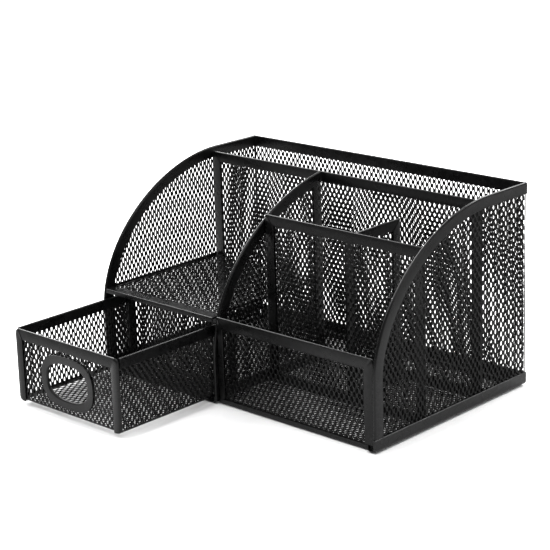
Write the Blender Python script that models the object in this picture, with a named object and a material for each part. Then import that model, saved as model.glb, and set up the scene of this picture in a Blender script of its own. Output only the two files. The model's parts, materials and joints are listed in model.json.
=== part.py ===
"""Desk organiser of black expanded-metal mesh with one pull-out drawer.

Frame: origin at the centre of the body's footprint on the desk, +X to the
right, +Y to the rear, +Z up, lengths in metres.  Every sheet of mesh is a thin
plate, and each of its edges is held in a folded flat strip, its rim.  A rim is
as thick as the folded strip with the mesh between its leaves.

Object prefixes: body pieces carry the name of their panel, and the drawer's
pieces all start with "drawer".  The drawer's pieces hang from one empty on the
axis of its slide.
"""

import math

import bpy
import bmesh

MM = 0.001

# Body
BODY_W = 220 * MM
BODY_D = 140 * MM
BODY_H = 125 * MM
LEFT = -BODY_W / 2
RIGHT = BODY_W / 2
FRONT = -BODY_D / 2
REAR = BODY_D / 2

# Sheet and strip
MESH_T = 0.8 * MM
STRIP_T = 2.0 * MM
GAP = 0.3 * MM
SIDE_STRIP = 7.0 * MM
PANEL_STRIP = 6.5 * MM
MITRE_GAP = 0.2 * MM

# Quarter-round profile of the two side panels
SIDE_STRAIGHT = 41.2 * MM
SIDE_ARC_D = 102.3 * MM
SIDE_POWER = 1.86
CORNER_R = 3.0 * MM

# Base
BASE_LEG = 8.0 * MM
BASE_FOOT = 7.0 * MM
BASE_FOOT_T = 1.0 * MM
BASE_MESH_T = 0.9 * MM
BASE_ROUND = 2.5 * MM
FRONT_HEM_H = 3.0 * MM
FRONT_PANEL_Y = 2.3 * MM

# Panels inside the body, measured from its left side, front and desk
MIDDLE_X = 96.1 * MM
MIDDLE_STRAIGHT = 26.2 * MM
MIDDLE_ARC_D = 125.8 * MM
MIDDLE_POWER = 2.0
REAR_DIVIDER_Y = 97.8 * MM
REAR_DIVIDER_TOP = 122.1 * MM
CROSS_Y = 46.0 * MM
CROSS_TOP = 106.3 * MM
SHORT_X = 158.3 * MM
SHORT_TOP = 102.6 * MM
FRONT_PANEL_TOP = 53.4 * MM
FRONT_PANEL_LEFT_STRIP = 4.5 * MM
SHELF_TOP = 52.8 * MM
SHELF_T = 1.2 * MM
FLOOR_CLEAR = 1.2 * MM

# Drawer, with its front face as it stands when pulled part of the way out
DRAWER_W = 90.4 * MM
DRAWER_D = 94.5 * MM
DRAWER_H = 45.0 * MM
DRAWER_X = 48.1 * MM
DRAWER_Z = 2.0 * MM
DRAWER_OUT = 72.0 * MM
DRAWER_STRIP = 6.5 * MM
DRAWER_SIDE_STRIP = 6.0 * MM

# Oval pull ring in the drawer's front
PULL_HALF_W = 22.7 * MM
PULL_HALF_H = 16.0 * MM
PULL_BAND = 5.2 * MM
PULL_Z = 20.2 * MM
PULL_POWER = 2.7

ARC_STEPS = 26
OVAL_STEPS = 48


def clear_scene():
    """Empties the scene."""
    for item in list(bpy.data.objects):
        bpy.data.objects.remove(item, do_unlink=True)


def coated_steel(name, colour, roughness):
    """Black powder coat over sheet steel."""
    mat = bpy.data.materials.new(name)
    mat.use_nodes = True
    shader = mat.node_tree.nodes["Principled BSDF"]
    shader.inputs["Base Color"].default_value = (*colour, 1.0)
    shader.inputs["Roughness"].default_value = roughness
    shader.inputs["Metallic"].default_value = 0.0
    mat.diffuse_color = (*colour, 1.0)
    return mat


def finish(name, bm, location, colour, roughness, parent):
    """Turns a bmesh into a placed object with its own material."""
    bmesh.ops.recalc_face_normals(bm, faces=bm.faces)
    mesh = bpy.data.meshes.new(name)
    bm.to_mesh(mesh)
    bm.free()
    mesh.materials.append(coated_steel(name + "_coat", colour, roughness))
    item = bpy.data.objects.new(name, mesh)
    item.location = location
    bpy.context.scene.collection.objects.link(item)
    if parent is not None:
        item.parent = parent
    return item


def in_plane(axis, pair):
    """A point of an outline, in the plane square to the axis."""
    a, b = pair
    if axis == "X":
        return (0.0, a, b)
    if axis == "Y":
        return (a, 0.0, b)
    return (a, b, 0.0)


def push(bm, faces, axis, depth):
    """Extrudes flat faces along the axis into a solid."""
    grown = bmesh.ops.extrude_face_region(bm, geom=faces)
    moved = [g for g in grown["geom"] if isinstance(g, bmesh.types.BMVert)]
    step = [0.0, 0.0, 0.0]
    step["XYZ".index(axis)] = depth
    bmesh.ops.translate(bm, vec=step, verts=moved)


def prism(outline, axis, depth):
    """Solid of one outline."""
    bm = bmesh.new()
    ring = [bm.verts.new(in_plane(axis, p)) for p in outline]
    push(bm, [bm.faces.new(ring)], axis, depth)
    return bm


def band(outer, inner, axis, depth, closed):
    """Solid between two outlines with equal numbers of points.

    A closed band is a ring; an open one ends square at both ends.
    """
    bm = bmesh.new()
    far = [bm.verts.new(in_plane(axis, p)) for p in outer]
    near = [bm.verts.new(in_plane(axis, p)) for p in inner]
    count = len(far)
    faces = []
    for i in range(count if closed else count - 1):
        j = (i + 1) % count
        faces.append(bm.faces.new((far[i], far[j], near[j], near[i])))
    push(bm, faces, axis, depth)
    return bm


def rectangle(a0, b0, a1, b1):
    return [(a0, b0), (a1, b0), (a1, b1), (a0, b1)]


def round_corner(centre, radius, start, end, steps):
    """Points on a quarter round, angles in degrees."""
    points = []
    for i in range(steps + 1):
        t = math.radians(start + (end - start) * i / steps)
        points.append((centre[0] + radius * math.cos(t), centre[1] + radius * math.sin(t)))
    return points


def quarter_round(straight, depth, top, power, steps):
    """Curve that leaves the front edge upright and reaches the top level."""
    points = []
    for i in range(steps + 1):
        t = 0.5 * math.pi * i / steps
        y = depth * (1.0 - max(math.cos(t), 0.0) ** (2.0 / power))
        z = straight + (top - straight) * math.sin(t) ** (2.0 / power)
        points.append((y, z))
    return points


def height_on(straight, depth, top, power, y):
    """Height of the quarter round at a distance from the front."""
    share = max(0.0, 1.0 - y / depth)
    return straight + (top - straight) * (1.0 - share ** power) ** (1.0 / power)


def cut_at(curve, y_end, z_end):
    """The part of a curve in front of y_end, closed with its end point."""
    kept = [p for p in curve if p[0] < y_end - 1.0 * MM]
    return kept + [(y_end, z_end)]


def inset_curve(points, distance):
    """Offset of an open curve to its right-hand side, with mitred joints."""
    moved = []
    for i, (a, b) in enumerate(points):
        before = points[max(i - 1, 0)]
        after = points[min(i + 1, len(points) - 1)]
        d0 = (a - before[0], b - before[1])
        d1 = (after[0] - a, after[1] - b)
        if i == 0:
            d0 = d1
        if i == len(points) - 1:
            d1 = d0
        n0 = unit((d0[1], -d0[0]))
        n1 = unit((d1[1], -d1[0]))
        mid = unit((n0[0] + n1[0], n0[1] + n1[1]))
        reach = distance / max(0.2, mid[0] * n1[0] + mid[1] * n1[1])
        moved.append((a + mid[0] * reach, b + mid[1] * reach))
    return moved


def unit(v):
    length = math.hypot(v[0], v[1])
    return (v[0] / length, v[1] / length)


def oval(half_w, half_h, power, steps):
    """Rounded oval about its own centre."""
    points = []
    for i in range(steps):
        t = 2.0 * math.pi * i / steps
        c, s = math.cos(t), math.sin(t)
        a = half_w * math.copysign(abs(c) ** (2.0 / power), c)
        b = half_h * math.copysign(abs(s) ** (2.0 / power), s)
        points.append((a, b))
    return points


# ---------------------------------------------------------------- side panels


def side_curve(y_end):
    """Outer edge of a side panel, from the base strip to its rear end."""
    arc = quarter_round(SIDE_STRAIGHT, SIDE_ARC_D, BODY_H, SIDE_POWER, ARC_STEPS)
    return [(0.0, BASE_LEG + GAP)] + arc + [(y_end, BODY_H)]


def side_rim(name, outer_x, inward):
    """Strip up the front edge, over the arc and along the top."""
    y_end = BODY_D - MITRE_GAP
    outer = side_curve(y_end)
    inner = inset_curve(outer, SIDE_STRIP)
    bm = prism(outer + inner[::-1], "X", inward * STRIP_T)
    for v in bm.verts:
        if v.co.y > y_end - 1e-6 and abs(v.co.x) > STRIP_T / 2:
            v.co.y -= STRIP_T
    finish(name, bm, (outer_x, FRONT, 0.0), (0.020, 0.020, 0.021), 0.46, None)


def side_mesh(name, outer_x, inward):
    """Plate of the side panel inside its strips."""
    arc = quarter_round(SIDE_STRAIGHT, SIDE_ARC_D, BODY_H, SIDE_POWER, ARC_STEPS)
    y_end = BODY_D - STRIP_T - GAP
    edge = inset_curve([(0.0, 0.0)] + arc + [(y_end, BODY_H)], SIDE_STRIP + GAP)
    bottom = BASE_LEG + GAP
    outline = [(SIDE_STRIP + GAP, bottom)] + edge[1:] + [(y_end, bottom)]
    bm = prism(outline, "X", inward * MESH_T)
    x = outer_x + inward * (STRIP_T - MESH_T) / 2
    finish(name, bm, (x, FRONT, 0.0), (0.016, 0.016, 0.017), 0.50, None)


def side_base_rim(name, outer_x, inward):
    """Angle strip along the foot of a side: upright leg, and a foot under the mesh."""
    outline = [(inward * a, b) for a, b in base_section()]
    bm = prism(outline, "Y", BODY_D)
    for v in bm.verts:
        if v.co.y > BODY_D - 1e-6:
            v.co.y -= abs(v.co.x) + MITRE_GAP
    finish(name, bm, (outer_x, FRONT, 0.0), (0.020, 0.020, 0.021), 0.46, None)


def base_section():
    """Section of the base's angle strip: distance from the outside, height."""
    corner = round_corner((BASE_ROUND, BASE_ROUND), BASE_ROUND, 180, 270, 4)
    inside = [(BASE_FOOT, 0.0), (BASE_FOOT, BASE_FOOT_T), (STRIP_T, BASE_FOOT_T)]
    return [(0.0, BASE_LEG)] + corner + inside + [(STRIP_T, BASE_LEG)]


# ------------------------------------------------------------------ rear wall


def rear_rim():
    """Strip along the top of the rear wall, mitred into the side strips."""
    low = BODY_H - SIDE_STRIP
    bm = prism(rectangle(MITRE_GAP, low, BODY_W - MITRE_GAP, BODY_H), "Y", -STRIP_T)
    for v in bm.verts:
        if v.co.y < -STRIP_T / 2:
            v.co.x += STRIP_T if v.co.x < BODY_W / 2 else -STRIP_T
    finish("rear_wall_rim", bm, (LEFT, REAR, 0.0), (0.020, 0.020, 0.021), 0.46, None)


def rear_mesh():
    """Plate of the rear wall, which closes the two rear corners."""
    inset = (STRIP_T - MESH_T) / 2
    low = BASE_LEG + GAP
    high = BODY_H - SIDE_STRIP - GAP
    bm = prism(rectangle(inset, low, BODY_W - inset, high), "Y", -MESH_T)
    place = (LEFT, REAR - inset, 0.0)
    finish("rear_wall_mesh", bm, place, (0.016, 0.016, 0.017), 0.50, None)


def rear_base_rim():
    """Angle strip along the foot of the rear wall, mitred at both ends."""
    bm = bmesh.new()
    ring = [bm.verts.new((0.0, -a, b)) for a, b in base_section()]
    push(bm, [bm.faces.new(ring)], "X", BODY_W)
    for v in bm.verts:
        step = abs(v.co.y) + MITRE_GAP
        v.co.x += step if v.co.x < BODY_W / 2 else -step
    finish("base_rim_rear", bm, (LEFT, REAR, 0.0), (0.020, 0.020, 0.021), 0.46, None)


# ----------------------------------------------------------------------- base


def base_mesh():
    """Floor of the whole organiser; its underside stands on the desk."""
    side = BASE_FOOT + GAP
    front = SIDE_STRIP + GAP
    rear = BODY_D - BASE_FOOT - GAP
    bm = prism(rectangle(side, front, BODY_W - side, rear), "Z", BASE_MESH_T)
    finish("base_mesh", bm, (LEFT, FRONT, 0.0), (0.016, 0.016, 0.017), 0.50, None)


def front_hems():
    """Folded front edge of the base: flat under the drawer, upright at the right."""
    start = BASE_FOOT + GAP
    stop = MIDDLE_X - STRIP_T / 2 - GAP
    outline = rectangle(GAP, 0.0, SIDE_STRIP, BASE_FOOT_T)
    bm = prism(outline, "X", stop - start)
    place = (LEFT + start, FRONT, 0.0)
    finish("base_rim_front_left", bm, place, (0.020, 0.020, 0.021), 0.46, None)

    start = MIDDLE_X + STRIP_T / 2 + GAP
    stop = BODY_W - BASE_FOOT - GAP
    near = FRONT_PANEL_Y
    far = FRONT_PANEL_Y + STRIP_T
    outline = [(near, FRONT_HEM_H), (near, 0.8 * MM), (near + 0.8 * MM, 0.0)]
    outline += [(SIDE_STRIP, 0.0), (SIDE_STRIP, BASE_FOOT_T)]
    outline += [(far, BASE_FOOT_T), (far, FRONT_HEM_H)]
    bm = prism(outline, "X", stop - start)
    place = (LEFT + start, FRONT, 0.0)
    finish("base_rim_front_right", bm, place, (0.020, 0.020, 0.021), 0.46, None)


# --------------------------------------------------------------- front panel


def front_panel():
    """Low wall across the right bay: strips on three edges and the plate."""
    width = BODY_W - STRIP_T - GAP - (MIDDLE_X + STRIP_T / 2 + GAP)
    x = LEFT + MIDDLE_X + STRIP_T / 2 + GAP
    low = FRONT_HEM_H + GAP
    top = FRONT_PANEL_TOP
    s, left = SIDE_STRIP, FRONT_PANEL_LEFT_STRIP
    outer = [(0.0, low), (0.0, top)]
    outer += round_corner((width - CORNER_R, top - CORNER_R), CORNER_R, 90, 0, 4)
    outer += [(width, low)]
    inner = [(left, low), (left, top - s), (width - s, top - s), (width - s, low)]
    bm = prism(outer + inner[::-1], "Y", STRIP_T)
    place = (x, FRONT + FRONT_PANEL_Y, 0.0)
    finish("front_panel_rim", bm, place, (0.020, 0.020, 0.021), 0.46, None)

    e = s + GAP
    bm = prism(rectangle(left + GAP, low, width - e, top - e), "Y", MESH_T)
    place = (x, FRONT + FRONT_PANEL_Y + (STRIP_T - MESH_T) / 2, 0.0)
    finish("front_panel_mesh", bm, place, (0.016, 0.016, 0.017), 0.50, None)


# --------------------------------------------------------------- middle panel


def middle_panel():
    """Panel between the drawer bay and the right bay, with an arched top."""
    y_end = REAR_DIVIDER_Y - GAP
    curve = quarter_round(MIDDLE_STRAIGHT, MIDDLE_ARC_D, BODY_H, MIDDLE_POWER, 30)
    z_end = height_on(MIDDLE_STRAIGHT, MIDDLE_ARC_D, BODY_H, MIDDLE_POWER, y_end)
    s = SIDE_STRIP
    top = cut_at(curve, y_end, z_end)
    inner = inset_curve([(0.0, 0.0)] + top, s)
    last = inner[-2]
    slope = (inner[-1][1] - last[1]) / (inner[-1][0] - last[0])
    z_in = last[1] + slope * (y_end - s - last[0])
    inner = [p for p in inner[1:-1] if p[0] < y_end - s - 0.5 * MM]
    inner = inner + [(y_end - s, z_in), (y_end - s, FLOOR_CLEAR + s)]
    window = [(s, FLOOR_CLEAR + s)] + inner
    outline = [(0.0, FLOOR_CLEAR)] + top + [(y_end, FLOOR_CLEAR)]
    bm = prism_with_window(outline, window, STRIP_T)
    x = LEFT + MIDDLE_X - STRIP_T / 2
    finish("middle_panel_rim", bm, (x, FRONT, 0.0), (0.020, 0.020, 0.021), 0.46, None)

    bm = prism(shrink(window, GAP), "X", MESH_T)
    x = LEFT + MIDDLE_X - MESH_T / 2
    finish("middle_panel_mesh", bm, (x, FRONT, 0.0), (0.016, 0.016, 0.017), 0.50, None)


def prism_with_window(outline, window, depth):
    """Solid of an outline in the YZ plane with one window through it."""
    bm = bmesh.new()
    edges = []
    for loop in (outline, window):
        ring = [bm.verts.new(in_plane("X", p)) for p in loop]
        for i, v in enumerate(ring):
            edges.append(bm.edges.new((v, ring[(i + 1) % len(ring)])))
    bmesh.ops.triangle_fill(bm, use_beauty=True, use_dissolve=False, edges=edges)
    push(bm, list(bm.faces), "X", depth)
    return bm


def shrink(loop, distance):
    """A closed outline moved inwards by a distance, with mitred corners."""
    count = len(loop)
    area = 0.0
    for i in range(count):
        a, b = loop[i], loop[(i + 1) % count]
        area += a[0] * b[1] - b[0] * a[1]
    side = 1.0 if area > 0 else -1.0
    moved = []
    for i in range(count):
        p, q, r = loop[i - 1], loop[i], loop[(i + 1) % count]
        n0 = unit((-(q[1] - p[1]) * side, (q[0] - p[0]) * side))
        n1 = unit((-(r[1] - q[1]) * side, (r[0] - q[0]) * side))
        mid = unit((n0[0] + n1[0], n0[1] + n1[1]))
        reach = distance / max(0.2, mid[0] * n1[0] + mid[1] * n1[1])
        moved.append((q[0] + mid[0] * reach, q[1] + mid[1] * reach))
    return moved


# ------------------------------------------------------------------- dividers


def framed_panel(name, axis, length, low, top, place, strip):
    """Flat divider: a plate with a strip round all four edges."""
    outer = rectangle(0.0, low, length, top)
    inner = rectangle(strip, low + strip, length - strip, top - strip)
    bm = band(outer, inner, axis, STRIP_T, True)
    finish(name + "_rim", bm, place, (0.020, 0.020, 0.021), 0.46, None)

    e = strip + GAP
    bm = prism(rectangle(e, low + e, length - e, top - e), axis, MESH_T)
    centred = list(place)
    centred["XYZ".index(axis)] += (STRIP_T - MESH_T) / 2
    finish(name + "_mesh", bm, centred, (0.016, 0.016, 0.017), 0.50, None)


def dividers():
    """Full-width rear divider, cross divider of the right bay, short divider."""
    side = STRIP_T + GAP
    length = BODY_W - 2 * side
    place = (LEFT + side, FRONT + REAR_DIVIDER_Y, 0.0)
    low = FLOOR_CLEAR
    framed_panel("rear_divider", "Y", length, low, REAR_DIVIDER_TOP, place, PANEL_STRIP)

    start = MIDDLE_X + STRIP_T / 2 + GAP
    length = BODY_W - side - start
    place = (LEFT + start, FRONT + CROSS_Y, 0.0)
    framed_panel("cross_divider", "Y", length, low, CROSS_TOP, place, PANEL_STRIP)

    start = CROSS_Y + STRIP_T + GAP
    length = REAR_DIVIDER_Y - GAP - start
    place = (LEFT + SHORT_X - STRIP_T / 2, FRONT + start, 0.0)
    framed_panel("short_divider", "X", length, low, SHORT_TOP, place, PANEL_STRIP)


# ---------------------------------------------------------------------- shelf


def shelf():
    """Shelf over the drawer: a flat front strip and the plate behind it."""
    start = STRIP_T + GAP
    stop = MIDDLE_X - STRIP_T / 2 - GAP
    front = 1.2 * MM
    low = SHELF_TOP - SHELF_T
    lip = [(front, low - 1.4 * MM), (front + 0.9 * MM, low - 1.4 * MM)]
    lip += [(front + 0.9 * MM, low), (front + SIDE_STRIP, low)]
    lip += [(front + SIDE_STRIP, SHELF_TOP), (front + 0.6 * MM, SHELF_TOP)]
    lip += [(front, SHELF_TOP - 0.6 * MM)]
    bm = prism(lip, "X", stop - start)
    place = (LEFT + start, FRONT, 0.0)
    finish("shelf_rim", bm, place, (0.020, 0.020, 0.021), 0.46, None)

    near = front + SIDE_STRIP + GAP
    far = REAR_DIVIDER_Y - GAP
    bm = prism(rectangle(start, near, stop, far), "Z", MESH_T)
    place = (LEFT, FRONT, SHELF_TOP - MESH_T)
    finish("shelf_mesh", bm, place, (0.016, 0.016, 0.017), 0.50, None)


# --------------------------------------------------------------------- drawer


def drawer_front(holder):
    """Front wall: strips on three edges, the plate, and the oval pull ring."""
    w, h = DRAWER_W, DRAWER_H
    s, t, r = DRAWER_SIDE_STRIP, DRAWER_STRIP, CORNER_R
    outer = round_corner((r, r), r, 270, 180, 4)
    outer += round_corner((r, h - r), r, 180, 90, 4)
    outer += round_corner((w - r, h - r), r, 90, 0, 4)
    outer += round_corner((w - r, r), r, 0, -90, 4)
    inner = [(w - s, 0.0), (w - s, h - t), (s, h - t), (s, 0.0)]
    bm = prism(outer + inner, "Y", STRIP_T)
    place = (-w / 2, 0.0, 0.0)
    finish("drawer_front_rim", bm, place, (0.022, 0.022, 0.023), 0.46, holder)

    ring = oval(PULL_HALF_W, PULL_HALF_H, PULL_POWER, OVAL_STEPS)
    hole = oval(PULL_HALF_W - PULL_BAND, PULL_HALF_H - PULL_BAND, PULL_POWER, OVAL_STEPS)
    bm = band(ring, hole, "Y", STRIP_T, True)
    place = (0.0, 0.0, PULL_Z)
    finish("drawer_pull", bm, place, (0.022, 0.022, 0.023), 0.44, holder)

    e = (STRIP_T - MESH_T) / 2
    low = MESH_T + GAP
    a0, a1 = s + GAP, w - s - GAP
    bm = prism(rectangle(a0, low, a1, h - t - GAP), "Y", MESH_T)
    place = (-w / 2, e, 0.0)
    plate = finish("drawer_front_mesh", bm, place, (0.016, 0.016, 0.017), 0.50, holder)

    wide = oval(PULL_HALF_W + GAP, PULL_HALF_H + GAP, PULL_POWER, OVAL_STEPS)
    bm = prism(wide, "Y", 4 * MESH_T)
    cutter = finish("pull_hole_cutter", bm, (0.0, -MESH_T, PULL_Z), (0.5, 0.5, 0.5), 0.5, holder)
    cutter.hide_render = True
    cutter.display_type = "WIRE"
    cut = plate.modifiers.new("pull_hole", "BOOLEAN")
    cut.operation = "DIFFERENCE"
    cut.object = cutter


def drawer_side(name, holder, outer_x, inward):
    """One side wall: a strip along its top and down its rear edge, and the plate."""
    d, h = DRAWER_D, DRAWER_H
    start = STRIP_T + GAP
    s, t = DRAWER_SIDE_STRIP, DRAWER_STRIP
    low = MESH_T + GAP
    outline = [(start, h), (d, h), (d, low), (d - s, low), (d - s, h - t), (start, h - t)]
    bm = prism(outline, "X", inward * STRIP_T)
    place = (outer_x, 0.0, 0.0)
    finish(name + "_rim", bm, place, (0.020, 0.020, 0.021), 0.46, holder)

    e = (STRIP_T - MESH_T) / 2
    bm = prism(rectangle(start, low, d - s - GAP, h - t - GAP), "X", inward * MESH_T)
    place = (outer_x + inward * e, 0.0, 0.0)
    finish(name + "_mesh", bm, place, (0.016, 0.016, 0.017), 0.50, holder)


def drawer_back(holder):
    """Rear wall of the drawer: a strip along its top, and the plate."""
    w, d, h, t = DRAWER_W, DRAWER_D, DRAWER_H, DRAWER_STRIP
    e = STRIP_T + GAP
    low = MESH_T + GAP
    bm = prism(rectangle(e, h - t, w - e, h), "Y", -STRIP_T)
    place = (-w / 2, d, 0.0)
    finish("drawer_back_rim", bm, place, (0.020, 0.020, 0.021), 0.46, holder)

    bm = prism(rectangle(e, low, w - e, h - t - GAP), "Y", -MESH_T)
    place = (-w / 2, d - (STRIP_T - MESH_T) / 2, 0.0)
    finish("drawer_back_mesh", bm, place, (0.016, 0.016, 0.017), 0.50, holder)


def drawer_floor(holder):
    """Floor of the drawer, under all four walls."""
    w, d = DRAWER_W, DRAWER_D
    e = (STRIP_T - MESH_T) / 2
    s = DRAWER_SIDE_STRIP + GAP
    near = STRIP_T + GAP
    outline = [(s, e), (w - s, e), (w - s, near), (w - e, near)]
    outline += [(w - e, d - e), (e, d - e), (e, near), (s, near)]
    bm = prism(outline, "Z", MESH_T)
    place = (-w / 2, 0.0, 0.0)
    finish("drawer_floor_mesh", bm, place, (0.016, 0.016, 0.017), 0.50, holder)


def drawer():
    """The drawer, on one empty that lies on the axis of its slide."""
    holder = bpy.data.objects.new("drawer_slide_axis", None)
    holder.location = (LEFT + DRAWER_X, FRONT - DRAWER_OUT, DRAWER_Z)
    bpy.context.scene.collection.objects.link(holder)
    drawer_front(holder)
    drawer_side("drawer_left", holder, -DRAWER_W / 2, 1.0)
    drawer_side("drawer_right", holder, DRAWER_W / 2, -1.0)
    drawer_back(holder)
    drawer_floor(holder)


def build():
    clear_scene()
    side_rim("left_side_rim", LEFT, 1.0)
    side_mesh("left_side_mesh", LEFT, 1.0)
    side_base_rim("base_rim_left", LEFT, 1.0)
    side_rim("right_side_rim", RIGHT, -1.0)
    side_mesh("right_side_mesh", RIGHT, -1.0)
    side_base_rim("base_rim_right", RIGHT, -1.0)
    rear_rim()
    rear_mesh()
    rear_base_rim()
    base_mesh()
    front_hems()
    front_panel()
    middle_panel()
    dividers()
    shelf()
    drawer()
    bpy.context.view_layer.update()


build()
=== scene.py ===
"""Looks of a black steel-mesh desk organiser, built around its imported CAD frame.

Every plate of the frame is replaced by a sheet of real expanded metal, and
every solid strip by a strip of thin steel folded over the sheet's edge.  The
parts' places come from the frame's nodes.  Lengths are in metres.
"""

import json
import math

import bmesh
import bpy
import numpy as np
from mathutils import Matrix, Vector

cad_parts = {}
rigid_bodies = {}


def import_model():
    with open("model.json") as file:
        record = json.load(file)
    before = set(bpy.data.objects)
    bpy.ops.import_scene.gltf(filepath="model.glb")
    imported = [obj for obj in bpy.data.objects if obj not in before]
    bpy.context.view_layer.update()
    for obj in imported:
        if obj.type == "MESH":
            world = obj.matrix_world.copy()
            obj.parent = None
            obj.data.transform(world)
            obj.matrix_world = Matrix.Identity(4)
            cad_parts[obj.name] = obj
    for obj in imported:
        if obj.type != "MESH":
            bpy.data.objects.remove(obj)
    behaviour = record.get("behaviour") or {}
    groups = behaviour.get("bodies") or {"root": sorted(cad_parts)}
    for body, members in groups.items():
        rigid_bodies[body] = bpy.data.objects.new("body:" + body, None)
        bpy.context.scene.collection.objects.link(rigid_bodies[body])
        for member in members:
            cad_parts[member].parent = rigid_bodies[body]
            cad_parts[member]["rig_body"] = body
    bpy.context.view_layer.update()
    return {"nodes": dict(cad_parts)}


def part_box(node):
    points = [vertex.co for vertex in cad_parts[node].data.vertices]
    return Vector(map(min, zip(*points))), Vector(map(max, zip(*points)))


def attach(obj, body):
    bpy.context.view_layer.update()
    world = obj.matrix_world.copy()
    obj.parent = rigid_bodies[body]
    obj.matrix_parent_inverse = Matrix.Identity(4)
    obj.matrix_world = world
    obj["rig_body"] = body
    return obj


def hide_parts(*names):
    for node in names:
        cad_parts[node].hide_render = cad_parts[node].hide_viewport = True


MM = 0.001

# Expanded metal: pitch across and along the diamonds, strand and knuckle sizes
CELL_W = 3.7 * MM
CELL_H = 5.8 * MM
STRAND_W = 0.76 * MM
KNUCKLE_H = 1.9 * MM
TIP_HALF = 0.13 * MM
SHEET_T = 0.34 * MM
WOBBLE = 0.035 * MM  # spread of the knuckles about their even grid
TUCK = 3.4 * MM  # how far a sheet runs on between the leaves of its strip
SHORT_TUCK = 1.0 * MM  # the same where a bent edge or another panel takes the sheet
# Pitch of a sheet, as shares of CELL_W and CELL_H
EVEN_PITCH = (1.0, 1.0)
LEFT_PITCH = (0.953, 0.97)
RIGHT_PITCH = (1.05, 1.03)

# Which way each sheet's louvres open, and how far
LEFT_TILT = 0.70
RIGHT_TILT = 0.30
REAR_TILT = 0.50
DIVIDER_TILT = 0.15
CROSS_TILT = -0.15
MIDDLE_TILT = 0.0
FRONT_TILT = -0.05
DRAWER_FRONT_TILT = 0.20
DRAWER_LEFT_TILT = 0.62
DRAWER_RIGHT_TILT = 0.50
SHELF_TILT = -0.14
BASE_TILT = -0.22
DRAWER_FLOOR_TILT = -0.14

# Folded strip
LEAF_T = 0.45 * MM
LEAF_ROUND = 0.14 * MM
GAP = 0.3 * MM  # between a strip's free edge and the CAD plate
FOLD_STEPS = 8
SEAM = 0.06 * MM  # open line at a mitre
LAP = 0.28 * MM  # how much lower a strip lies than the one it runs under
FRONT_GAP = 0.6 * MM  # between the front panel and the right side panel
CORNER_R = 3.0 * MM  # of the rounded corners of the front strips

# Arched panels: where the sheet ends under the fold, and how far it is drawn out above
ARCH_DEPTH = 1.2 * MM
ARCH_REACH = 1.5 * MM

# Rear corners of the body, and how far they stand past the plates
CORNER_BEND = 1.0 * MM
CORNER_LIP = 0.1 * MM
CORNER_OUT = 0.2 * MM

# Angle strips at the foot of the body
STRIP_T = 2.0 * MM
FOOT_T = 1.0 * MM
BASE_ROUND = 2.5 * MM
BASE_CHAMFER = 0.25 * MM
BASE_FILLET = 0.6 * MM
FRONT_FOOT_R = 1.2 * MM

# Shelf: its front strip and the flanges at its two ends
SHELF_LEAF = 1.2 * MM
SHELF_ROUND = 0.6 * MM
SHELF_LIP_T = 0.9 * MM
FLANGE_BEND = 0.8 * MM
FLANGE_FOOT = 0.4 * MM
FLANGE_H = 1.3 * MM

# Bend between the drawer's walls and its floor
BEND_R = 1.2 * MM
BEND_ARC = BEND_R * math.pi / 2
BEND_LIP = 1.2 * MM
BEND_EDGE = 0.35 * MM
BEND_OVERLAP = 0.3 * MM
DRAWER_LIFT = 0.4 * MM  # of the bent foot above the CAD floor's underside

# Finger ring: outline's power (2 is an ellipse), width of the band, points round it
PULL_POWER = 2.7
PULL_BAND = 5.2 * MM
PULL_STEPS = 64

CAMERA_PLACE = (0.6983, -0.76037, 0.37918)
CAMERA_AZIMUTH = 43.65
CAMERA_ELEVATION = 15.13
CAMERA_ROLL = -1.80
CAMERA_LENS = 116.89
CAMERA_SHIFT_Y = -0.10

# Floor's band of painted shade: level directions whose products with a place give the distance to the
# side of the object, and a fifth of the distance in front of or behind it
FLOOR_SIDE = (0.69, 0.72, 0.0)
FLOOR_DEPTH = (0.144, -0.138, 0.0)

# Soft boxes: name, place, what it faces, size and watts
LIGHTS = [
    ("left", (-1.15, 0.15, 0.88), (0, 0, 0.05), (1.4, 0.9), 38.0),
    ("back", (0.05, 1.25, 1.20), (0, 0, 0.05), (1.8, 0.6), 34.0),
    ("top", (0.2, -0.6, 1.6), (0, 0, 0.0), (1.4, 1.2), 18.0),
    ("right", (1.5, 0.3, 0.7), (0, 0, 0.05), (0.8, 0.8), 8.0),
]
SKY_STRENGTH = 0.45
VIEW_GAMMA = 0.86

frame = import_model()
rng = np.random.default_rng(7)


# ------------------------------------------------------------------ materials


def new_material(name):
    mat = bpy.data.materials.new(name)
    mat.use_nodes = True
    nodes = mat.node_tree.nodes
    return mat, nodes, mat.node_tree.links, nodes["Principled BSDF"]


def add_noise(nodes, links, coord, scale, detail, rough=0.5):
    noise = nodes.new("ShaderNodeTexNoise")
    noise.inputs["Scale"].default_value = scale
    noise.inputs["Detail"].default_value = detail
    noise.inputs["Roughness"].default_value = rough
    links.new(coord, noise.inputs["Vector"])
    return noise.outputs["Fac"]


def remap(nodes, links, value, low, high, to_low, to_high):
    node = nodes.new("ShaderNodeMapRange")
    node.inputs["From Min"].default_value = low
    node.inputs["From Max"].default_value = high
    node.inputs["To Min"].default_value = to_low
    node.inputs["To Max"].default_value = to_high
    links.new(value, node.inputs["Value"])
    return node.outputs["Result"]


def math_node(nodes, links, operation, *values):
    node = nodes.new("ShaderNodeMath")
    node.operation = operation
    for value, socket in zip(values, node.inputs):
        links.new(value, socket)
    return node.outputs["Value"]


def distance_along(nodes, links, coord, direction):
    """A place's distance from the origin along a direction, times the direction's length."""
    node = nodes.new("ShaderNodeVectorMath")
    node.operation = "DOT_PRODUCT"
    node.inputs[1].default_value = direction
    links.new(coord, node.inputs[0])
    return node.outputs["Value"]


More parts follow.
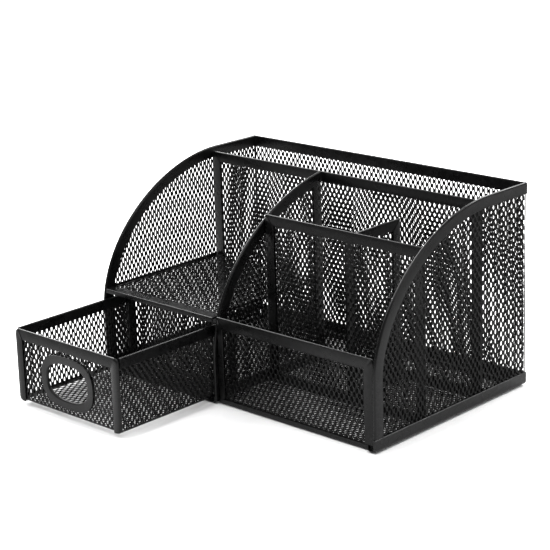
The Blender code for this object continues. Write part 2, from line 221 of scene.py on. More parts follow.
def powder_coat(name, dark, light, rough, bump, shine):
    """Satin black powder coat: orange peel, faint mottling, edges rubbed paler."""
    mat, nodes, links, shader = new_material(name)
    coord = nodes.new("ShaderNodeTexCoord").outputs["Object"]
    mottle = add_noise(nodes, links, coord, 90.0, 4.0)
    peel = add_noise(nodes, links, coord, 1900.0, 3.0, 0.6)
    wear = add_noise(nodes, links, coord, 420.0, 5.0, 0.65)

    point = nodes.new("ShaderNodeNewGeometry").outputs["Pointiness"]
    edge = remap(nodes, links, point, 0.53, 0.62, 0.0, 1.0)
    patchy = remap(nodes, links, wear, 0.42, 0.70, 0.0, 0.55)
    worn = math_node(nodes, links, "MULTIPLY", edge, patchy)

    tone = nodes.new("ShaderNodeMix")
    tone.data_type = "RGBA"
    tone.inputs["A"].default_value = (*dark, 1.0)
    tone.inputs["B"].default_value = (*light, 1.0)
    links.new(remap(nodes, links, mottle, 0.30, 0.70, 0.0, 1.0), tone.inputs["Factor"])

    rubbed = nodes.new("ShaderNodeMix")
    rubbed.data_type = "RGBA"
    rubbed.inputs["B"].default_value = (0.020, 0.020, 0.021, 1.0)
    links.new(tone.outputs["Result"], rubbed.inputs["A"])
    links.new(worn, rubbed.inputs["Factor"])
    links.new(rubbed.outputs["Result"], shader.inputs["Base Color"])

    links.new(remap(nodes, links, mottle, 0.30, 0.70, rough - 0.05, rough + 0.05),
              shader.inputs["Roughness"])
    shader.inputs["Metallic"].default_value = 0.0
    shader.inputs["Specular IOR Level"].default_value = shine

    relief = nodes.new("ShaderNodeBump")
    relief.inputs["Strength"].default_value = bump
    relief.inputs["Distance"].default_value = 0.05 * MM
    links.new(peel, relief.inputs["Height"])
    links.new(relief.outputs["Normal"], shader.inputs["Normal"])
    return mat


def floor_material():
    """White paper with painted shade: a greyer band to the sides, for the black paint to mirror."""
    mat, nodes, links, shader = new_material("studio_floor_white_painted_shade")
    coord = nodes.new("ShaderNodeTexCoord").outputs["Object"]
    grain = add_noise(nodes, links, coord, 60.0, 3.0)
    shade = remap(nodes, links, grain, 0.3, 0.7, 0.900, 0.915)
    # Painted shade: the floor greys to 0.38 of its white in a band to each side of the object and
    # comes back beyond it, so the black paint mirrors a darker floor
    side = distance_along(nodes, links, coord, FLOOR_SIDE)
    sideways = math_node(nodes, links, "ABSOLUTE", side)
    ahead = distance_along(nodes, links, coord, FLOOR_DEPTH)
    depth = math_node(nodes, links, "ABSOLUTE", ahead)
    away = math_node(nodes, links, "SUBTRACT", sideways, depth)
    painted_shade_fall = remap(nodes, links, away, 0.20, 0.42, 1.0, 0.38)
    rise = remap(nodes, links, away, 0.55, 0.90, 0.0, 0.62)
    band = math_node(nodes, links, "ADD", painted_shade_fall, rise)
    shade = math_node(nodes, links, "MULTIPLY", shade, band)
    tone = nodes.new("ShaderNodeCombineColor")
    for socket in ("Red", "Green", "Blue"):
        links.new(shade, tone.inputs[socket])
    links.new(tone.outputs["Color"], shader.inputs["Base Color"])
    shader.inputs["Roughness"].default_value = 0.65
    shader.inputs["Specular IOR Level"].default_value = 0.2
    return mat


STRIP = powder_coat("strip_powder_coat", dark=(0.0018, 0.0018, 0.0019),
                    light=(0.0038, 0.0038, 0.0039), rough=0.28, bump=0.16, shine=0.30)
STRAND = powder_coat("strand_powder_coat", dark=(0.0010, 0.0010, 0.0010),
                     light=(0.0022, 0.0022, 0.0023), rough=0.28, bump=0.12, shine=0.26)


# ---------------------------------------------------------------- mesh making


class Plane:
    """Sheet coordinates (a, b, n) of a flat part whose thin side lies along one row axis."""

    def __init__(self, node):
        low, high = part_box(node)
        size = [high[i] - low[i] for i in range(3)]
        self.n = size.index(min(size))
        self.a, self.b = [i for i in range(3) if i != self.n]
        self.low, self.high = low, high
        self.middle = (low[self.n] + high[self.n]) / 2

    def place(self, points):
        """Row coordinates of an array of (a, b, n), with n counted from the sheet's middle."""
        out = np.zeros((len(points), 3))
        out[:, self.a] = points[:, 0]
        out[:, self.b] = points[:, 1]
        out[:, self.n] = points[:, 2] + self.middle
        return out

    def flips(self):
        """True where (a, b, n) is a left-handed set."""
        return self.n == 1


def mesh_object(name, points, faces, material):
    mesh = bpy.data.meshes.new(name)
    mesh.from_pydata([tuple(p) for p in points], [], faces)
    mesh.update()
    mesh.materials.append(material)
    obj = bpy.data.objects.new(name, mesh)
    bpy.context.scene.collection.objects.link(obj)
    return obj


def face_out(obj):
    """Turns all faces of closed shells outwards."""
    bm = bmesh.new()
    bm.from_mesh(obj.data)
    bmesh.ops.recalc_face_normals(bm, faces=bm.faces)
    bm.to_mesh(obj.data)
    bm.free()


def adopt(obj, node):
    """The piece stands for a CAD node and rides on that node's body."""
    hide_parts(node)
    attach(obj, frame["nodes"][node]["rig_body"])


# ------------------------------------------------------------- expanded metal

# Corners of a knuckle, anticlockwise: half widths and half heights
KNUCKLE = [(-STRAND_W, -1), (-TIP_HALF, -1), (TIP_HALF, -1), (STRAND_W, -1),
           (STRAND_W, 1), (TIP_HALF, 1), (-TIP_HALF, 1), (-STRAND_W, 1)]


def knuckle_grid(a0, b0, a1, b1, half):
    """Grid numbers (p, q) of the knuckles in a rectangle; p + q is even."""
    p_low, p_high = math.floor(a0 / half[0]), math.ceil(a1 / half[0])
    q_low, q_high = math.floor(b0 / half[1]), math.ceil(b1 / half[1])
    grid = []
    for q in range(q_low, q_high + 1):
        for p in range(p_low, p_high + 1):
            if (p + q) % 2 == 0:
                grid.append((p, q))
    return grid


def expanded_metal(rectangle, phase, tilt, keep, pitch=EVEN_PITCH):
    """Points (a, b, n) and faces of a sheet of expanded metal over a rectangle.

    Slits run along b.  Every strand and knuckle leans by the same tilt about
    the b direction, as raised expanded metal does, and the lean's sign says
    which way the louvres open.  Sheets from different coils differ a little in
    pitch.
    """
    a0, b0, a1, b1 = rectangle
    half = (CELL_W * pitch[0] / 2, CELL_H * pitch[1] / 2)
    grid = knuckle_grid(a0 - phase[0], b0 - phase[1], a1 - phase[0], b1 - phase[1], half)
    centres = np.array(grid, float) * half + phase
    kept = keep(centres)
    grid = [g for g, ok in zip(grid, kept) if ok]
    centres = centres[kept]
    number = {g: i for i, g in enumerate(grid)}

    shape = np.array([(x, y * KNUCKLE_H / 2) for x, y in KNUCKLE])
    count = len(grid)
    points = np.zeros((count, 16, 3))
    points[:, :8, :2] = centres[:, None, :] + shape[None, :, :]
    points[:, :8, 2] = shape[None, :, 0] * tilt + SHEET_T / 2
    points[:, 8:, :2] = points[:, :8, :2]
    points[:, 8:, 2] = points[:, :8, 2] - SHEET_T
    drift = rng.normal(0.0, WOBBLE, (count, 1, 3)) * (1.0, 1.0, 0.7)
    points += drift

    faces = []
    for (p, q), k in number.items():
        o = k * 16
        faces.append(tuple(o + i for i in range(8)))
        faces.append(tuple(o + 15 - i for i in range(8)))
        for i, j in ((7, 0), (3, 4), (1, 2), (5, 6)):
            faces.append((o + j, o + i, o + i + 8, o + j + 8))
        add_strand(faces, o, (4, 5), number.get((p + 1, q + 1)), (0, 1))
        add_strand(faces, o, (6, 7), number.get((p - 1, q + 1)), (2, 3))
        for step, (i, j) in (((-1, -1), (0, 1)), ((1, -1), (2, 3))):
            if (p + step[0], q + step[1]) not in number:
                faces.append((o + j, o + i, o + i + 8, o + j + 8))
    return points.reshape(-1, 3), faces


def add_strand(faces, o, near, other, far):
    """A strand from two corners of a knuckle to two of the next, or a cap if there is none."""
    i, j = near
    if other is None:
        faces.append((o + j, o + i, o + i + 8, o + j + 8))
        return
    u0, u1 = other * 16 + far[0], other * 16 + far[1]
    faces.append((o + j, o + i, u1, u0))
    faces.append((u0 + 8, u1 + 8, o + i + 8, o + j + 8))
    faces.append((u1, o + i, o + i + 8, u1 + 8))
    faces.append((o + j, u0, u0 + 8, o + j + 8))


def trim(obj, cuts):
    """Cuts the sheet at planes (axis, value, side) and closes the cut strands."""
    bm = bmesh.new()
    bm.from_mesh(obj.data)
    for axis, value, side in cuts:
        where, normal = Vector((0, 0, 0)), Vector((0, 0, 0))
        where[axis] = value
        normal[axis] = side
        whole = bm.verts[:] + bm.edges[:] + bm.faces[:]
        made = bmesh.ops.bisect_plane(bm, geom=whole, dist=1e-7, plane_co=where,
                                      plane_no=normal, clear_outer=True)
        rim = [e for e in made["geom_cut"] if isinstance(e, bmesh.types.BMEdge)]
        bmesh.ops.holes_fill(bm, edges=rim, sides=0)
    bmesh.ops.dissolve_degenerate(bm, dist=1e-6, edges=bm.edges)
    bm.to_mesh(obj.data)
    bm.free()


def smooth(obj, degrees):
    """Smooth shading, but with edges sharper than an angle left sharp."""
    obj.data.shade_smooth()
    obj.data.set_sharp_from_angle(angle=math.radians(degrees))


def keep_all(centres):
    return np.ones(len(centres), bool)


def sheet(node, tilt, tucks=(TUCK,) * 4, keep=keep_all, pitch=EVEN_PITCH, edges=()):
    """Replaces a plate with expanded metal, and adds plain edges to it, as shells.

    Tucks are how far the sheet runs past the plate's four edges.
    """
    plane = Plane(node)
    a0, a1 = plane.low[plane.a] - tucks[0], plane.high[plane.a] + tucks[1]
    b0, b1 = plane.low[plane.b] - tucks[2], plane.high[plane.b] + tucks[3]
    phase = rng.uniform(0.0, 1.0, 2) * (CELL_W, CELL_H)
    points, faces = expanded_metal((a0, b0, a1, b1), phase, tilt, keep, pitch)
    obj = mesh_object(node + "_expanded", plane.place(points), faces, STRAND)
    if plane.flips():
        obj.data.flip_normals()
    trim(obj, [(plane.a, a0, -1), (plane.a, a1, 1), (plane.b, b0, -1), (plane.b, b1, 1)])
    if edges:
        add_shells(obj, edges)
    smooth(obj, 60)
    adopt(obj, node)


def add_shells(obj, shells):
    """Adds closed shells, each as (points, faces), to a mesh."""
    bm = bmesh.new()
    bm.from_mesh(obj.data)
    for points, faces in shells:
        verts = [bm.verts.new(p) for p in points]
        made = [bm.faces.new([verts[i] for i in f]) for f in faces]
        bmesh.ops.recalc_face_normals(bm, faces=made)
    bm.to_mesh(obj.data)
    bm.free()


def bar(section, along, start, stop):
    """Points and faces of a bar; section points are (u, v) in the two other axes, in order."""
    axes = [i for i in range(3) if i != along]
    m = len(section)
    points = []
    for value in (start, stop):
        for u, v in section:
            p = [0.0, 0.0, 0.0]
            p[axes[0]], p[axes[1]] = u, v
            p[along] = value(u, v) if callable(value) else value
            points.append(tuple(p))
    faces = [tuple(range(m)), tuple(range(2 * m - 1, m - 1, -1))]
    for k in range(m):
        after = (k + 1) % m
        faces.append((k, after, m + after, m + k))
    return points, faces


def bent_edge(corner, toward_u, toward_v, radius, length_u, length_v):
    """Section of a plain sheet edge bent round a corner, as an L with a round outside."""
    cu, cv = corner
    outer = [(radius + length_u, 0.0)]
    for i in range(7):
        t = math.radians(90 * i / 6)
        outer.append((radius * (1 - math.sin(t)), radius * (1 - math.cos(t))))
    outer.append((0.0, radius + length_v))
    inner = [(SHEET_T, radius + length_v)]
    r = radius - SHEET_T
    for i in range(7):
        t = math.radians(90 - 90 * i / 6)
        inner.append((radius - r * math.sin(t), radius - r * math.cos(t)))
    inner.append((radius + length_u, SHEET_T))
    return [(cu + toward_u * u, cv + toward_v * v) for u, v in outer + inner]


# --------------------------------------------------------------- folded strip


def fold_profile(width, thick):
    """Section of a folded strip: (distance from the fold, offset from the middle)."""
    r_out, r_in = thick / 2, thick / 2 - LEAF_T
    c = LEAF_ROUND
    section = [(width, r_out - c), (width - c, r_out)]
    for i in range(FOLD_STEPS + 1):
        t = math.pi * i / FOLD_STEPS
        section.append((r_out - r_out * math.sin(t), r_out * math.cos(t)))
    section += [(width - c, -r_out), (width, c - r_out), (width, -r_in)]
    for i in range(FOLD_STEPS // 2 + 1):
        t = math.pi * i / (FOLD_STEPS // 2)
        section.append((r_out - r_in * math.sin(t), -r_in * math.cos(t)))
    section.append((width, r_in))
    return section


def sweep(outer, inner, thick, closed):
    """Points (a, b, n) and faces of a folded strip between its fold and its free edge."""
    width = max(math.dist(outer[0], inner[0]), 1e-6)
    if not closed and len(outer) > 2:
        width = math.dist(outer[1], inner[1])
    section = fold_profile(width, thick)
    m = len(section)
    points = []
    for (a, b), (c, d) in zip(outer, inner):
        for s, n in section:
            share = s / width
            points.append((a + (c - a) * share, b + (d - b) * share, n))
    count = len(outer)
    faces = []
    for i in range(count if closed else count - 1):
        j = (i + 1) % count
        for k in range(m):
            after = (k + 1) % m
            faces.append((i * m + k, j * m + k, j * m + after, i * m + after))
    if not closed:
        faces.append(tuple(range(m)))
        faces.append(tuple((count - 1) * m + k for k in range(m - 1, -1, -1)))
    return points, faces


def strips(node, parts, closed=False):
    """Replaces a rim with folded strips.

    Each part is (fold points, free-edge points, lap), with the points in the
    rim's plane.  The lap thins a strip on both sides, so that it runs under
    the strips it meets.
    """
    plane = Plane(node)
    thick = plane.high[plane.n] - plane.low[plane.n]
    points, faces = [], []
    for outer, inner, lap in parts:
        more, made = sweep(outer, inner, thick - 2 * lap, closed)
        start = len(points)
        points += more
        faces += [tuple(start + i for i in f) for f in made]
    obj = mesh_object(node + "_folded", plane.place(np.array(points)), faces, STRIP)
    face_out(obj)
    smooth(obj, 35)
    adopt(obj, node)


def framed(node, strip, sides="lrtb", seam=SEAM):
    """Straight strips round a rectangular rim, mitred where two of them meet."""
    plane = Plane(node)
    a0, a1 = plane.low[plane.a], plane.high[plane.a]
    b0, b1 = plane.low[plane.b], plane.high[plane.b]
    s = strip
    low = s if "b" in sides else 0.0
    high = s if "t" in sides else 0.0
    left = s if "l" in sides else 0.0
    right = s if "r" in sides else 0.0
    runs = {
        "l": ([(a0, b0), (a0, b1)], [(a0 + s, b0 + low), (a0 + s, b1 - high)], (0, 1)),
        "r": ([(a1, b0), (a1, b1)], [(a1 - s, b0 + low), (a1 - s, b1 - high)], (0, 1)),
        "t": ([(a0, b1), (a1, b1)], [(a0 + left, b1 - s), (a1 - right, b1 - s)], (1, 0)),
        "b": ([(a0, b0), (a1, b0)], [(a0 + left, b0 + s), (a1 - right, b0 + s)], (1, 0)),
    }
    parts = []
    for side in sides:
        outer, inner, along = runs[side]
        lap = LAP if side in "tb" else 0.0
        parts.append((draw_in(outer, along, seam), draw_in(inner, along, seam), lap))
    return parts


def top_strip(rim):
    """Replaces a rim that is only a strip along the top of a wall."""
    low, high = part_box(rim)
    strips(rim, framed(rim, high.z - low.z, "t", 0.0))


def draw_in(pair, along, seam):
    """Shortens a straight run at both ends."""
    (a, b), (c, d) = pair
    return [(a + along[0] * seam, b + along[1] * seam), (c - along[0] * seam, d - along[1] * seam)]


# ------------------------------------------------------------ arched outlines


def face_loop(node):
    """Outer outline of a flat node as points in its plane, in order."""
    plane = Plane(node)
    bm = bmesh.new()
    bm.from_mesh(frame["nodes"][node].data)
    bmesh.ops.remove_doubles(bm, verts=bm.verts, dist=1e-6)
    top = {f for f in bm.faces if f.normal[plane.n] > 0.99}
    links = {}
    for e in bm.edges:
        if sum(f in top for f in e.link_faces) == 1:
            links.setdefault(e.verts[0], []).append(e.verts[1])
            links.setdefault(e.verts[1], []).append(e.verts[0])
    start = min(links, key=lambda v: v.co[plane.a] + v.co[plane.b])
    loop, last = [start], None
    here = start
    while True:
        ways = [v for v in links[here] if v is not last]
        ways = sorted(ways, key=lambda v: -v.co[plane.b]) if last is None else ways
        last, here = here, ways[0]
        if here is start:
            break
        loop.append(here)
    points = [(v.co[plane.a], v.co[plane.b]) for v in loop]
    bm.free()
    return points


def arch_path(node, foot):
    """Fold line of an arched panel: up its front, over the arch, to its rear end."""
    loop = face_loop(node)
    rear = max(range(len(loop)), key=lambda i: loop[i][0] + loop[i][1])
    path = loop[:rear + 1]
    return [(path[0][0], foot)] + path[1:]


def unit(v):
    length = math.hypot(v[0], v[1])
    return (v[0] / length, v[1] / length)


def inset(points, distance):
    """Offset of an open curve to its right-hand side."""
    moved = []
    for i, (a, b) in enumerate(points):
        before, after = points[max(i - 1, 0)], points[min(i + 1, len(points) - 1)]
        d0, d1 = (a - before[0], b - before[1]), (after[0] - a, after[1] - b)
        d0 = d1 if i == 0 else d0
        d1 = d0 if i == len(points) - 1 else d1
        n0, n1 = unit((d0[1], -d0[0])), unit((d1[1], -d1[0]))
        mid = unit((n0[0] + n1[0], n0[1] + n1[1]))
        reach = distance / max(0.2, mid[0] * n1[0] + mid[1] * n1[1])
        moved.append((a + mid[0] * reach, b + mid[1] * reach))
    return moved


def under_arch(path):
    """Test for knuckles: below the arch."""
    line = np.array(path)

    def keep(centres):
        return centres[:, 1] < np.interp(centres[:, 0], line[:, 0], line[:, 1])

    return keep


# ------------------------------------------------------------------ the parts


def side_panel(side, tilt, pitch):
    """Arched outer panel with one strip up its front and over its arch."""
    rim, plate = side + "_side_rim", side + "_side_mesh"
    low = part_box(rim)[0]
    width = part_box(plate)[0].y - low.y - GAP
    path = arch_path(rim, low.z)
    free = inset(path, width)
    strips(rim, [(path, free, 0.0)])
    below = under_arch(inset(path, ARCH_DEPTH))
    sheet(plate, tilt, (TUCK, CORNER_OUT, TUCK, TUCK + ARCH_REACH), below, pitch)


def middle_panel():
    """Arched panel beside the drawer, with strips up its rear and along its foot too."""
    rim, plate = "middle_panel_rim", "middle_panel_mesh"
    low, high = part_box(rim)
    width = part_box(plate)[0].y - low.y - GAP
    path = arch_path(rim, low.z)
    free = inset(path, width)
    end = high.y - width
    free = [p for p in free if p[0] < end]
    last, before = free[-1], free[-2]
    slope = (last[1] - before[1]) / (last[0] - before[0])
    corner = (end, last[1] + slope * (end - last[0]))
    free = free + [corner] * (len(path) - len(free))
    z_end = path[-1][1]
    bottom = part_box(plate)[0].z - GAP
    rear = ([(high.y, bottom - width + SEAM), (high.y, z_end - SEAM)],
            [(end, bottom), (end, corner[1] - SEAM)], LAP)
    foot = ([(low.y + width, bottom - width), (high.y, bottom - width)],
            [(low.y + width, bottom), (end, bottom)], 2 * LAP)
    strips(rim, [(path, free, 0.0), rear, foot])
    below = under_arch(inset(path, ARCH_DEPTH))
    sheet(plate, MIDDLE_TILT, (TUCK, TUCK, TUCK, TUCK + ARCH_REACH), below)


def rounded_frame(node, widths, top, radius, feet, gap=0.0):
    """Two upright strips and a level one, mitred at two upper corners that may be round.

    Feet is the radius at the foot of the uprights; gap moves the right end in.
    """
    plane = Plane(node)
    a0, a1 = plane.low[plane.a], plane.high[plane.a] - gap
    b0, b1 = plane.low[plane.b], plane.high[plane.b]
    parts = []
    for side, sign in (("l", 1), ("r", -1)):
        edge = a0 if sign > 0 else a1
        r, s = radius[side], widths[side]
        outer = corner_points(edge, b0, sign, 1, feet) + corner_points(edge, b1, sign, -1, r)[::-1]
        inner = [(edge + sign * s, b0)] * (len(outer) // 2)
        inner += [(edge + sign * s, b1 - top)] * (len(outer) - len(inner))
        parts.append((outer, inner, 0.0))
    r0, r1 = radius["l"], radius["r"]
    outer = [(a0 + r0 + SEAM, b1), (a1 - r1 - SEAM, b1)]
    inner = [(a0 + widths["l"] + SEAM, b1 - top), (a1 - widths["r"] - SEAM, b1 - top)]
    parts.append((outer, inner, LAP))
    return parts


def corner_points(a, b, sign_a, sign_b, radius):
    """Quarter round at a corner, from its level edge to its upright edge."""
    if radius <= 0.0:
        return [(a, b)]
    points = []
    for i in range(5):
        t = math.radians(90 * i / 4)
        x = a + sign_a * radius * (1 - math.cos(t))
        z = b + sign_b * radius * (1 - math.sin(t))
        points.append((x, z))
    return points[::-1]


def section_bar(node, section, along, start, stop):
    """Replaces a strip with a solid bar of constant section."""
    points, faces = bar(section, along, start, stop)
    obj = mesh_object(node + "_bent", points, faces, STRIP)
    face_out(obj)
    smooth(obj, 35)
    adopt(obj, node)


def angle_section(edge, inward, leg, foot):
    """Folded angle strip: upright leg, bent under with a round corner, level foot."""
    outline = [(STRIP_T, leg), (BASE_CHAMFER, leg), (0.0, leg - BASE_CHAMFER)]
    for i in range(9):
        t = math.radians(90 * i / 8)
        outline.append((BASE_ROUND * (1 - math.cos(t)), BASE_ROUND * (1 - math.sin(t))))
    outline += [(foot, 0.0), (foot, FOOT_T)]
    outline += [(STRIP_T + BASE_FILLET, FOOT_T), (STRIP_T, FOOT_T + BASE_FILLET)]
    return [(edge + inward * across, up) for across, up in outline]


def base_strips():
    """Angle strips at the foot of the body, and the two hems under its front."""
    for side, inward in (("left", 1), ("right", -1)):
        node = "base_rim_" + side
        low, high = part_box(node)
        edge = low.x if inward > 0 else high.x
        section = angle_section(edge, inward, high.z, high.x - low.x)

        def front(u, v, end=low.y):
            drop = max(BASE_ROUND - v, 0.0)
            return end + BASE_ROUND - math.sqrt(BASE_ROUND ** 2 - drop ** 2)

        def rear(u, v, edge=edge, end=high.y):
            return end - abs(u - edge)

        section_bar(node, section, 1, front, rear)
    low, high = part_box("base_rim_rear")
    section = angle_section(high.y, -1, high.z, high.y - low.y)

    def left(u, v):
        return low.x + abs(u - high.y)

    def right(u, v):
        return high.x - abs(u - high.y)

    section_bar("base_rim_rear", section, 0, left, right)

    low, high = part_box("base_rim_front_left")
    h = high.z - low.z
    flat = [(low.y, h / 2), (low.y + h / 4, 0), (high.y, 0), (high.y, h), (low.y + h / 4, h)]
    section_bar("base_rim_front_left", flat, 0, low.x, high.x)
    low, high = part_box("base_rim_front_right")
    r = FRONT_FOOT_R
    section = [(low.y + STRIP_T, high.z), (low.y, high.z)]
    for i in range(7):
        t = math.radians(90 * i / 6)
        section.append((low.y + r * (1 - math.cos(t)), r * (1 - math.sin(t))))
    section += [(high.y, 0), (high.y, FOOT_T), (low.y + STRIP_T, FOOT_T)]
    section_bar("base_rim_front_right", section, 0, low.x, high.x)


def body():
    """Everything that stays put, from the outer panels to the shelf."""
    side_panel("left", LEFT_TILT, LEFT_PITCH)
    side_panel("right", RIGHT_TILT, RIGHT_PITCH)
    low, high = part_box("rear_wall_mesh")
    corners = []
    for x, inward in ((low.x - CORNER_OUT, 1), (high.x + CORNER_OUT, -1)):
        section = bent_edge((x, high.y + CORNER_OUT), inward, -1, CORNER_BEND, CORNER_LIP, CORNER_LIP)
        corners.append(bar(section, 2, low.z - TUCK, high.z + TUCK))
    sheet("rear_wall_mesh", REAR_TILT, (-CORNER_BEND, -CORNER_BEND, TUCK, TUCK), edges=corners)
    top_strip("rear_wall_rim")
    base_strips()
    sheet("base_mesh", BASE_TILT, (0, 0, 0, 0))
    middle_panel()
    for name, tilt in (("rear_divider", DIVIDER_TILT), ("cross_divider", CROSS_TILT),
                       ("short_divider", MIDDLE_TILT)):
        rim, plate = name + "_rim", name + "_mesh"
        axis = Plane(rim).a
        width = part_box(plate)[0][axis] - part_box(rim)[0][axis] - GAP
        strips(rim, framed(rim, width))
        sheet(plate, tilt)
    low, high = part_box("front_panel_rim")
    plate_low, plate_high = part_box("front_panel_mesh")
    widths = {"l": plate_low.x - low.x - GAP, "r": high.x - plate_high.x - GAP}
    radius = {"l": 0.0, "r": CORNER_R}
    top = high.z - plate_high.z - GAP
    strips("front_panel_rim", rounded_frame("front_panel_rim", widths, top, radius, 0.0, FRONT_GAP))
    sheet("front_panel_mesh", FRONT_TILT, (TUCK, TUCK, SHORT_TUCK, TUCK))
    shelf()


def shelf():
    """Tray over the drawer, flanged at its two ends, and the strip along its front."""
    low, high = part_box("shelf_rim")
    top = high.z
    leaf, r = SHELF_LEAF, SHELF_ROUND
    section = [(high.y, top - leaf), (high.y, top), (low.y + r, top)]
    for i in range(5):
        t = math.radians(90 * i / 4)
        section.append((low.y + r * (1 - math.sin(t)), top - r * (1 - math.cos(t))))
    section += [(low.y, low.z), (low.y + SHELF_LIP_T, low.z), (low.y + SHELF_LIP_T, top - leaf)]
    section_bar("shelf_rim", section, 0, low.x, high.x)
    low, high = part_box("shelf_mesh")
    flanges = []
    for x, inward in ((low.x, 1), (high.x, -1)):
        section = bent_edge((x, low.z), inward, 1, FLANGE_BEND, FLANGE_FOOT, FLANGE_H)
        flanges.append(bar(section, 1, low.y, high.y))
    sheet("shelf_mesh", SHELF_TILT, (-FLANGE_BEND, -FLANGE_BEND, SHORT_TUCK, 0), edges=flanges)


def bend(points, plane_at, inward, base, axis_q):
    """Rolls the lower end of a wall sheet (a, s, n) inwards under the drawer.

    s runs along the sheet from its edge under the floor, round the bend and
    up the wall, and axis_q is the row axis that the wall faces.
    """
    s, n = points[:, 1], points[:, 2]
    angle = np.clip((s - BEND_LIP) / BEND_R, 0.0, math.pi / 2)
    q = BEND_R * (1 - np.sin(angle)) + np.maximum(BEND_LIP - s, 0.0)
    z = BEND_R * (1 - np.cos(angle)) + np.maximum(s - BEND_LIP - BEND_ARC, 0.0)
    q = q - n * np.sin(angle)
    z = z - n * np.cos(angle)
    out = np.zeros_like(points)
    out[:, 1 - axis_q] = points[:, 0]
    out[:, axis_q] = plane_at + inward * q
    out[:, 2] = base + z
    return out


def drawer_wall(node, tilt, inward, tucks):
    """Wall of the drawer: expanded metal with a plain foot that is bent in under the floor."""
    plane = Plane(node)
    low, high = plane.low, plane.high
    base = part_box("drawer_floor_mesh")[0].z + DRAWER_LIFT
    a0, a1 = low[plane.a] - tucks[0], high[plane.a] + tucks[1]
    s1 = BEND_LIP + BEND_ARC + (high.z + TUCK - base - BEND_R)
    phase = rng.uniform(0.0, 1.0, 2) * (CELL_W, CELL_H)
    s_edge = BEND_LIP + BEND_ARC + BEND_EDGE
    s0 = s_edge - BEND_OVERLAP
    points, faces = expanded_metal((a0, s0, a1, s1), phase, -inward * tilt, keep_all)
    flat = mesh_object(node + "_expanded", points, faces, STRAND)
    trim(flat, [(0, a0, -1), (0, a1, 1), (1, s0, -1), (1, s1, 1)])
    side = [(s_edge * i / 12, SHEET_T / 2) for i in range(13)]
    section = side + [(s, -n) for s, n in reversed(side)]
    add_shells(flat, [bar(section, 0, a0, a1)])
    co = np.zeros(len(flat.data.vertices) * 3)
    flat.data.vertices.foreach_get("co", co)
    rolled = bend(co.reshape(-1, 3), plane.middle, inward, base, plane.n)
    flat.data.vertices.foreach_set("co", rolled.ravel())
    flat.data.update()
    face_out(flat)
    return flat


def oval(half_w, half_h):
    """Points of the finger ring's outline, about its middle."""
    points = []
    for i in range(PULL_STEPS):
        t = 2 * math.pi * i / PULL_STEPS
        c, s = math.cos(t), math.sin(t)
        points.append((half_w * math.copysign(abs(c) ** (2 / PULL_POWER), c),
                       half_h * math.copysign(abs(s) ** (2 / PULL_POWER), s)))
    return points


def drawer():
    """Front with its ring, two sides, back and floor."""
    low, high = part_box("drawer_front_rim")
    plate_low, plate_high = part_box("drawer_front_mesh")
    widths = {"l": plate_low.x - low.x - GAP, "r": high.x - plate_high.x - GAP}
    radius = {"l": CORNER_R, "r": CORNER_R}
    top = high.z - plate_high.z - GAP
    strips("drawer_front_rim", rounded_frame("drawer_front_rim", widths, top, radius, CORNER_R))

    ring_low, ring_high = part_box("drawer_pull")
    half_w, half_h = (ring_high.x - ring_low.x) / 2, (ring_high.z - ring_low.z) / 2
    mid_x, mid_z = (ring_high.x + ring_low.x) / 2, (ring_high.z + ring_low.z) / 2
    free = [(mid_x + a, mid_z + b) for a, b in oval(half_w, half_h)]
    fold = [(mid_x + a, mid_z + b) for a, b in oval(half_w - PULL_BAND, half_h - PULL_BAND)]
    strips("drawer_pull", [(fold, free, 0.0)], closed=True)

    front = drawer_wall("drawer_front_mesh", DRAWER_FRONT_TILT, 1, (TUCK, TUCK))
    cut_oval(front, mid_x, mid_z, half_w - PULL_BAND / 2, half_h - PULL_BAND / 2)
    smooth(front, 60)
    adopt(front, "drawer_front_mesh")
    drawer_side("drawer_left", DRAWER_LEFT_TILT, 1)
    drawer_side("drawer_right", DRAWER_RIGHT_TILT, -1)
    back = drawer_wall("drawer_back_mesh", DIVIDER_TILT, -1, (SHORT_TUCK, SHORT_TUCK))
    smooth(back, 60)
    adopt(back, "drawer_back_mesh")
    top_strip("drawer_back_rim")
    inset_floor = -(BEND_R + BEND_LIP - BEND_OVERLAP)
    sheet("drawer_floor_mesh", DRAWER_FLOOR_TILT, (inset_floor,) * 4)


def drawer_side(name, tilt, inward):
    """Side wall of the drawer, with a strip along its top and one down its rear end."""
    plate, rim = name + "_mesh", name + "_rim"
    wall = drawer_wall(plate, tilt, inward, (SHORT_TUCK, TUCK))
    smooth(wall, 60)
    adopt(wall, plate)
    low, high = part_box(rim)
    plate_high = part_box(plate)[1]
    s, t = high.y - plate_high.y - GAP, high.z - plate_high.z - GAP
    top = ([(low.y, high.z), (high.y - SEAM, high.z)],
           [(low.y, high.z - t), (high.y - s - SEAM, high.z - t)], LAP)
    rear = ([(high.y, low.z), (high.y, high.z - SEAM)],
            [(high.y - s, low.z), (high.y - s, high.z - t - SEAM)], 0.0)
    strips(rim, [top, rear])


def cut_oval(obj, mid_x, mid_z, half_w, half_h):
    """Opens the finger hole: drops the metal inside an oval that the ring covers."""
    bm = bmesh.new()
    bm.from_mesh(obj.data)
    gone = []
    for f in bm.faces:
        c = f.calc_center_median()
        u, v = abs(c.x - mid_x) / half_w, abs(c.z - mid_z) / half_h
        if u ** PULL_POWER + v ** PULL_POWER < 1.0:
            gone.append(f)
    bmesh.ops.delete(bm, geom=gone, context="FACES")
    rim = [e for e in bm.edges if e.is_boundary]
    bmesh.ops.holes_fill(bm, edges=rim, sides=0)
    bm.to_mesh(obj.data)
    bm.free()


# ------------------------------------------------------------ camera and room


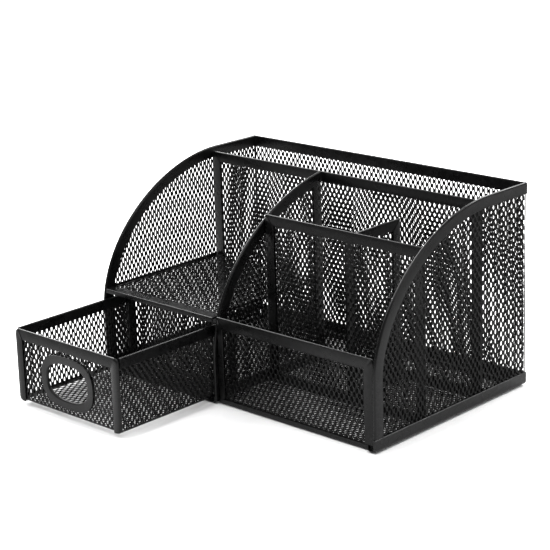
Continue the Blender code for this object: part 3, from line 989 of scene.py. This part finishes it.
def camera():
    """The photograph's view: azimuth 0 looks along +Y, and roll turns the camera on its axis."""
    az, el, roll = (math.radians(v) for v in (CAMERA_AZIMUTH, CAMERA_ELEVATION, CAMERA_ROLL))
    look = Vector((-math.sin(az) * math.cos(el), math.cos(az) * math.cos(el), -math.sin(el)))
    level = Vector((math.cos(az), math.sin(az), 0.0))
    upright = level.cross(look)
    right = level * math.cos(roll) + upright * math.sin(roll)
    up = upright * math.cos(roll) - level * math.sin(roll)
    data = bpy.data.cameras.new("camera")
    data.sensor_width = 36.0
    data.lens = CAMERA_LENS
    data.shift_y = CAMERA_SHIFT_Y
    data.clip_start, data.clip_end = 0.05, 20.0
    cam = bpy.data.objects.new("camera", data)
    turn = Matrix((right, up, -look)).transposed().to_4x4()
    cam.matrix_world = Matrix.Translation(CAMERA_PLACE) @ turn
    bpy.context.scene.collection.objects.link(cam)
    bpy.context.scene.camera = cam


def area_light(name, place, target, size, power):
    data = bpy.data.lights.new(name, "AREA")
    data.shape = "RECTANGLE"
    data.size, data.size_y = size
    data.energy = power
    lamp = bpy.data.objects.new(name, data)
    lamp.location = place
    aim = Vector(target) - Vector(place)
    lamp.rotation_euler = aim.to_track_quat("-Z", "Y").to_euler()
    bpy.context.scene.collection.objects.link(lamp)


def studio():
    """Floor, even white sky and the soft boxes."""
    bm = bmesh.new()
    bmesh.ops.create_circle(bm, cap_ends=True, segments=96, radius=6.0)
    mesh = bpy.data.meshes.new("studio_floor")
    bm.to_mesh(mesh)
    bm.free()
    mesh.materials.append(floor_material())
    floor = bpy.data.objects.new("studio_floor", mesh)
    floor.location = (0, 0, -0.0004)
    bpy.context.scene.collection.objects.link(floor)

    world = bpy.data.worlds.new("studio_white")
    world.use_nodes = True
    sky = world.node_tree.nodes["Background"]
    sky.inputs["Color"].default_value = (1.0, 1.0, 1.0, 1.0)
    sky.inputs["Strength"].default_value = SKY_STRENGTH
    bpy.context.scene.world = world
    bpy.context.scene.view_settings.view_transform = "Standard"
    bpy.context.scene.view_settings.gamma = VIEW_GAMMA

    for light in LIGHTS:
        area_light(*light)


camera()
studio()
body()
drawer()
